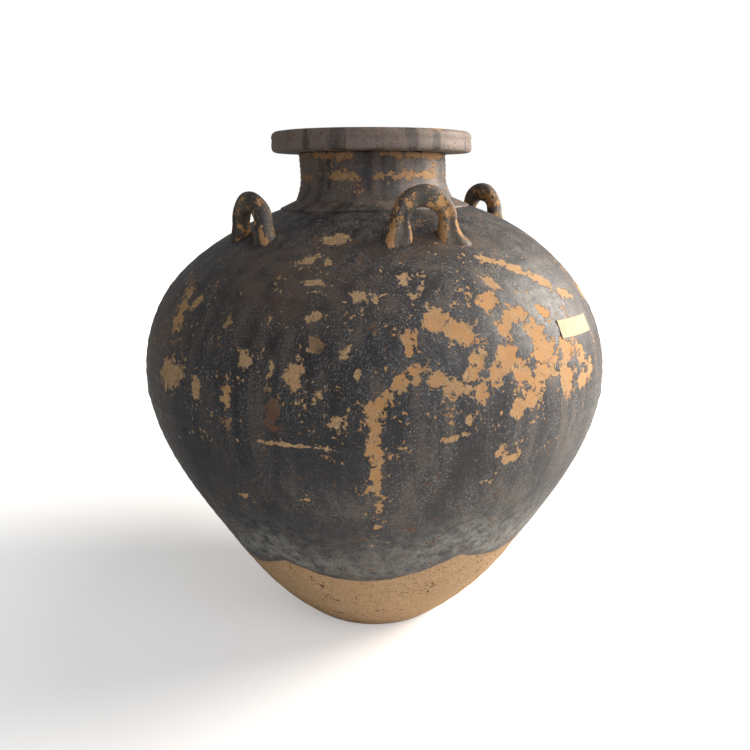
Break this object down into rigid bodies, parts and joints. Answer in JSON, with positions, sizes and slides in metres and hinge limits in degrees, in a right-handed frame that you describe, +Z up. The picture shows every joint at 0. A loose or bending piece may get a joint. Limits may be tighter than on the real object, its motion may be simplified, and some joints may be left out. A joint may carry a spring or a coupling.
{
  "type": "martaban storage jar",
  "caption": "Broad-shouldered stoneware storage jar with a short neck, flat thick rim, arched shoulder lugs for tying a cover, and a worn dark glaze that stops in scallops above a bare foot.",
  "frame": {"origin": "centre of the flat foot, on the surface the jar stands on", "axes": "+Z up along the jar's axis of turning; the front is -Y and the lugs' directions are counted from it towards +X"},
  "size_m": [0.5122, 0.5126, 0.547],
  "materials": {
    "bare_stoneware": "matte",
    "worn_glaze": "satin",
    "tan_paper": "matte"
  },
  "bodies": {
    "root": {"floor_slab": "bare_stoneware", "lower_body": "bare_stoneware", "upper_body": "bare_stoneware", "neck": "worn_glaze", "rim": "worn_glaze", "lug_front": "worn_glaze", "lug_right": "worn_glaze", "lug_back": "worn_glaze", "lug_left": "worn_glaze", "glaze_coat": "worn_glaze", "paper_tag": "tan_paper"}
  },
  "joints": []
}
